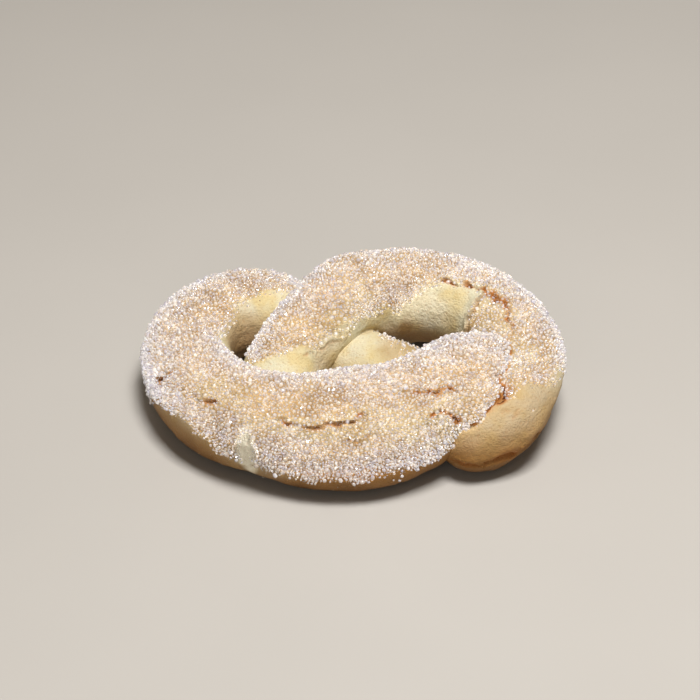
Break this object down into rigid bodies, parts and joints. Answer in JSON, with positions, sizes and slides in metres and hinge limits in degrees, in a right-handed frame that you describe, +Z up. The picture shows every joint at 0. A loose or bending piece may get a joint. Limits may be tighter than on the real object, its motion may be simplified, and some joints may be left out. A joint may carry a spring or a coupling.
{
  "type": "knotted sweet roll",
  "caption": "Soft sweet roll made of a rope of dough tied in a loose pretzel-like knot, baked golden, with bare pale inner sides and a crust of coarse sugar.",
  "frame": {"origin": "middle of the roll's box, on the flat baked underside", "axes": "+X to the right along the roll's length, +Y from the front strand to the back, +Z up"},
  "size_m": [0.091, 0.0686, 0.0246],
  "materials": {
    "baked_dough": "baked crust, matte, pale at the sides and browned on top",
    "coarse_sugar": "clear coarse crystals with bright facets"
  },
  "bodies": {
    "root": {"sugared_dough_knot": "baked_dough"}
  },
  "joints": []
}
